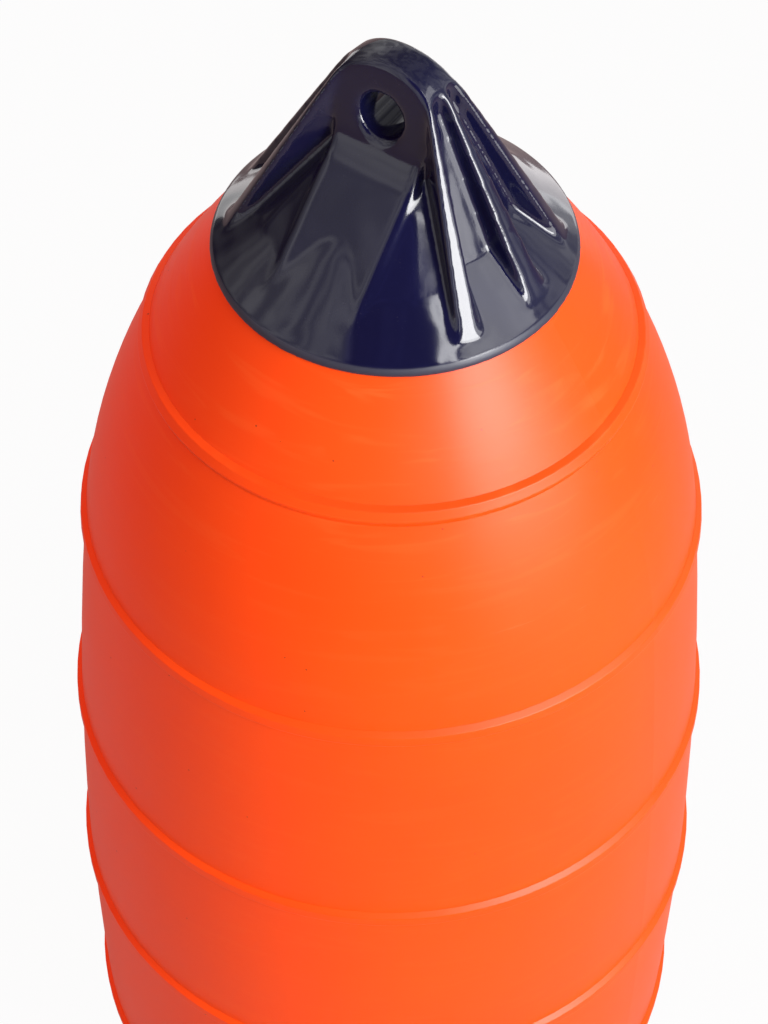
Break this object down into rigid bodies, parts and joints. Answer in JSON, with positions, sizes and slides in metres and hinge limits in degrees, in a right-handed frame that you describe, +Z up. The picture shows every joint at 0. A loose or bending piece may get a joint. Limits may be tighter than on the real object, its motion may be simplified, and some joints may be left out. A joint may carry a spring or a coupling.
{
  "type": "low drag buoy",
  "caption": "Inflatable torpedo-shaped marker buoy with raised rings and a ribbed rope hold with one through eye.",
  "frame": {"origin": "on the buoy's axis at the waterline of the empty buoy, floating with its eye up", "axes": "+Z up the buoy's axis to the rope hold, Y along the rope eye, X across it; the valve is on the +Y side"},
  "size_m": [0.4667, 0.4668, 1.3027],
  "materials": {
    "body": "satin moulded soft vinyl",
    "hold": "glossy moulded vinyl",
    "valve": "satin",
    "screw": "satin"
  },
  "bodies": {
    "root": {"body_shell": "body", "rope_hold": "hold", "valve_bush": "valve", "valve_screw": "screw"}
  },
  "joints": []
}
